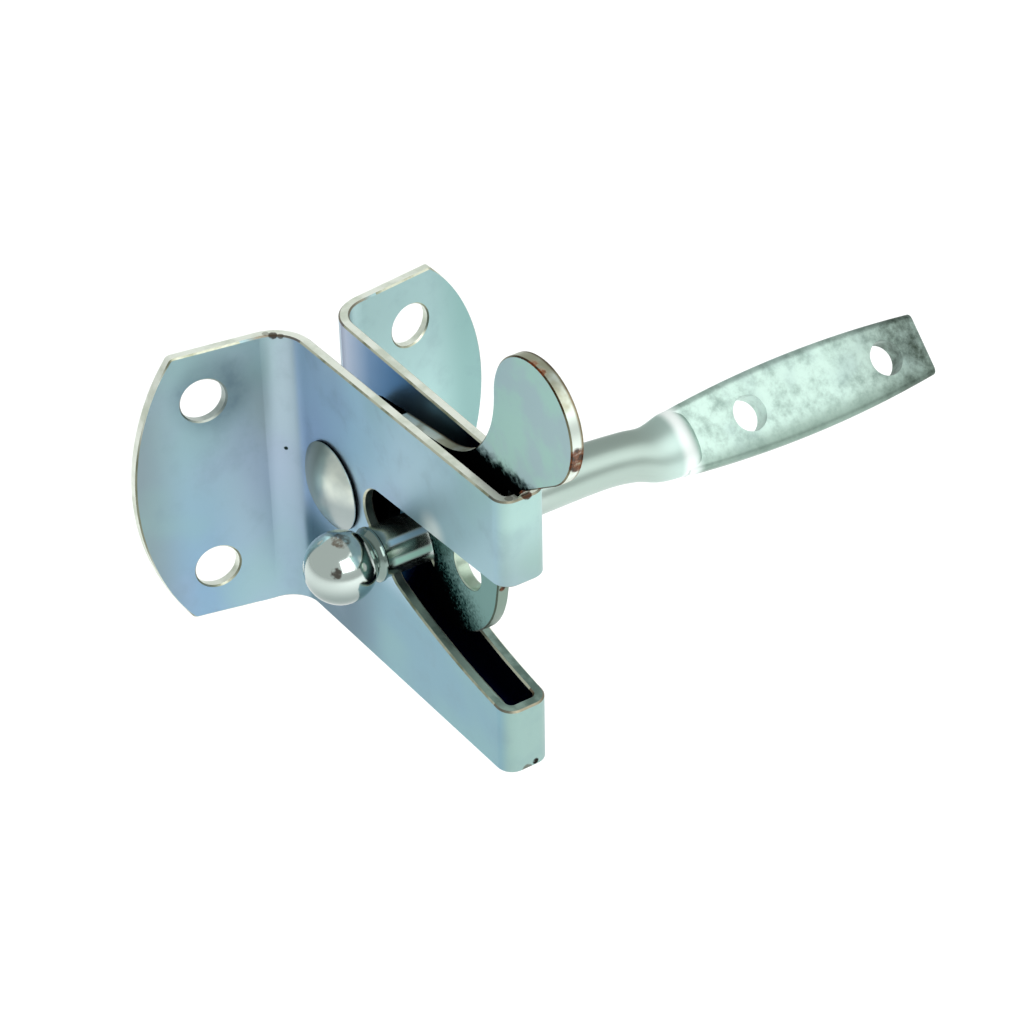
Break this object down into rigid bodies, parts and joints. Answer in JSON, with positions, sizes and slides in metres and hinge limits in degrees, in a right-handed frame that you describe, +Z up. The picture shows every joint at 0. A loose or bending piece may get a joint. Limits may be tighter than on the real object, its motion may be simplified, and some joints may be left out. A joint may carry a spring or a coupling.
{
  "type": "gate latch",
  "caption": "Gravity gate latch folded from one sheet, with a pivoting pawl and thumb tab, latched on a ball-ended striker bar with a forged fixing plate.",
  "frame": {"origin": "middle of the post fixing holes, on the back faces of the flanges", "axes": "+X forward from the post to the nose, +Y across to the gate side along the striker, +Z up"},
  "size_m": [0.0882, 0.148, 0.085],
  "materials": {
    "body_zinc_sheet": "bright zinc plate on sheet steel",
    "pawl_zinc_plate": "bright zinc plate, rust spots on the tab's rim",
    "rivet_zinc": "polished zinc plate",
    "spacer_zinc": "zinc plate",
    "striker_zinc_forging": "bright turned bar, mottled forged fixing plate"
  },
  "bodies": {
    "latch": {"latch_body": "body_zinc_sheet", "pivot_rivet": "rivet_zinc", "near_spacer": "spacer_zinc", "far_spacer": "spacer_zinc", "striker_bar": "striker_zinc_forging"},
    "pawl": {"pawl": "pawl_zinc_plate"}
  },
  "joints": [
    {"name": "pawl_lift", "type": "hinge", "parent": "latch", "child": "pawl", "pos_m": [0.0175, 0, 0.0023], "axis": [0, -1, 0], "range_deg": [0, 58]}
  ]
}
